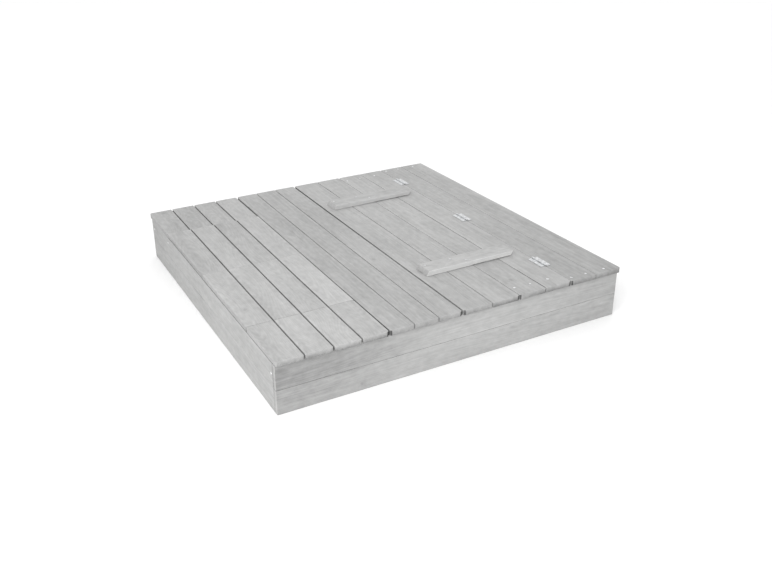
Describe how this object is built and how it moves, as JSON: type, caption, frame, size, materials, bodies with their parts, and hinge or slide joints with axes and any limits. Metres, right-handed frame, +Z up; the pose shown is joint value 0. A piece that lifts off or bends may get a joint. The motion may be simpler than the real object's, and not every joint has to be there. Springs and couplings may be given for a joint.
{
  "type": "covered sandpit with folding bench",
  "caption": "Low square wooden sand and water pit with a boarded lid: lift-off hatches over tubs, a lift-off cover and a hinged part that folds over into a bench with a backrest.",
  "frame": {"origin": "middle of the footprint, on the ground", "axes": "+X to the right along the front edge, towards the bench; +Y to the back, along the lid boards; +Z up"},
  "size_m": [1.235, 1.27, 0.1975],
  "materials": {
    "wall_wood": "matt grey-washed softwood",
    "lid_wood": "matt grey-washed softwood",
    "frame_wood": "matt grey-washed softwood, rough sawn",
    "hinge_zinc": "bright zinc plate",
    "screw_steel": "bright zinc plate",
    "tub_plastic": "satin moulded plastic"
  },
  "bodies": {
    "box": {"back_end_board_1": "lid_wood", "back_end_board_2": "lid_wood", "back_end_board_3": "lid_wood", "back_end_board_4": "lid_wood", "back_wall_lower": "wall_wood", "back_wall_upper": "wall_wood", "bearer_back": "frame_wood", "bearer_front": "frame_wood", "bearer_middle": "frame_wood", "bench_board_inner": "lid_wood", "bench_board_outer": "lid_wood", "bench_screws": "screw_steel", "corner_post_back_left": "frame_wood", "corner_post_back_right": "frame_wood", "corner_post_front_left": "frame_wood", "corner_post_front_right": "frame_wood", "front_end_board_1": "lid_wood", "front_end_board_2": "lid_wood", "front_end_board_3": "lid_wood", "front_end_board_4": "lid_wood", "front_wall_lower": "wall_wood", "front_wall_upper": "wall_wood", "left_wall_lower": "wall_wood", "left_wall_upper": "wall_wood", "partition": "frame_wood", "right_wall_lower": "wall_wood", "right_wall_upper": "wall_wood", "top_hinge_leaves_bench": "hinge_zinc", "top_hinge_pins": "hinge_zinc", "tub_ledges": "frame_wood", "wall_screws": "screw_steel"},
    "seat": {"seat_board_first": "lid_wood", "seat_board_second": "lid_wood", "seat_cleats": "frame_wood", "seat_screws": "screw_steel", "top_hinge_leaves_seat": "hinge_zinc", "under_hinge_leaves_seat": "hinge_zinc", "under_hinge_pins": "hinge_zinc"},
    "backrest": {"back_board_first": "lid_wood", "back_board_second": "lid_wood", "back_screws": "screw_steel", "batten_back": "lid_wood", "batten_front": "lid_wood", "under_hinge_leaves_back": "hinge_zinc"},
    "cover": {"cover_board_1": "lid_wood", "cover_board_2": "lid_wood", "cover_board_3": "lid_wood", "cover_cleats": "frame_wood"},
    "hatch_back": {"hatch_back_board_1": "lid_wood", "hatch_back_board_2": "lid_wood", "hatch_back_board_3": "lid_wood", "hatch_back_board_4": "lid_wood", "hatch_back_cleats": "frame_wood"},
    "hatch_front": {"hatch_front_board_1": "lid_wood", "hatch_front_board_2": "lid_wood", "hatch_front_board_3": "lid_wood", "hatch_front_board_4": "lid_wood", "hatch_front_cleats": "frame_wood"},
    "tub_back": {"tub_back": "tub_plastic"},
    "tub_front": {"tub_front": "tub_plastic"}
  },
  "joints": [
    {"name": "seat_hinge", "type": "hinge", "parent": "box", "child": "seat", "pos_m": [0.41065, 0, 0.1825], "axis": [0, 1, 0], "range_deg": [0, 180]},
    {"name": "backrest_hinge", "type": "hinge", "parent": "seat", "child": "backrest", "pos_m": [0.20605, 0, 0.158], "axis": [0, 1, 0], "range_deg": [-85, 0]},
    {"name": "cover_lift", "type": "slide", "parent": "box", "child": "cover", "axis": [0, 0, 1], "range_m": [0, 0.3]},
    {"name": "hatch_back_lift", "type": "slide", "parent": "box", "child": "hatch_back", "axis": [0, 0, 1], "range_m": [0, 0.3]},
    {"name": "hatch_front_lift", "type": "slide", "parent": "box", "child": "hatch_front", "axis": [0, 0, 1], "range_m": [0, 0.3]},
    {"name": "tub_back_lift", "type": "slide", "parent": "box", "child": "tub_back", "axis": [0, 0, 1], "range_m": [0, 0.15]},
    {"name": "tub_front_lift", "type": "slide", "parent": "box", "child": "tub_front", "axis": [0, 0, 1], "range_m": [0, 0.15]}
  ],
  "couplings": [
    {"joint": "backrest_hinge", "follows": "seat_hinge", "ratio": -0.47222},
    {"joint": "tub_back_lift", "follows": "hatch_back_lift", "ratio": 0.5},
    {"joint": "tub_front_lift", "follows": "hatch_front_lift", "ratio": 0.5}
  ]
}
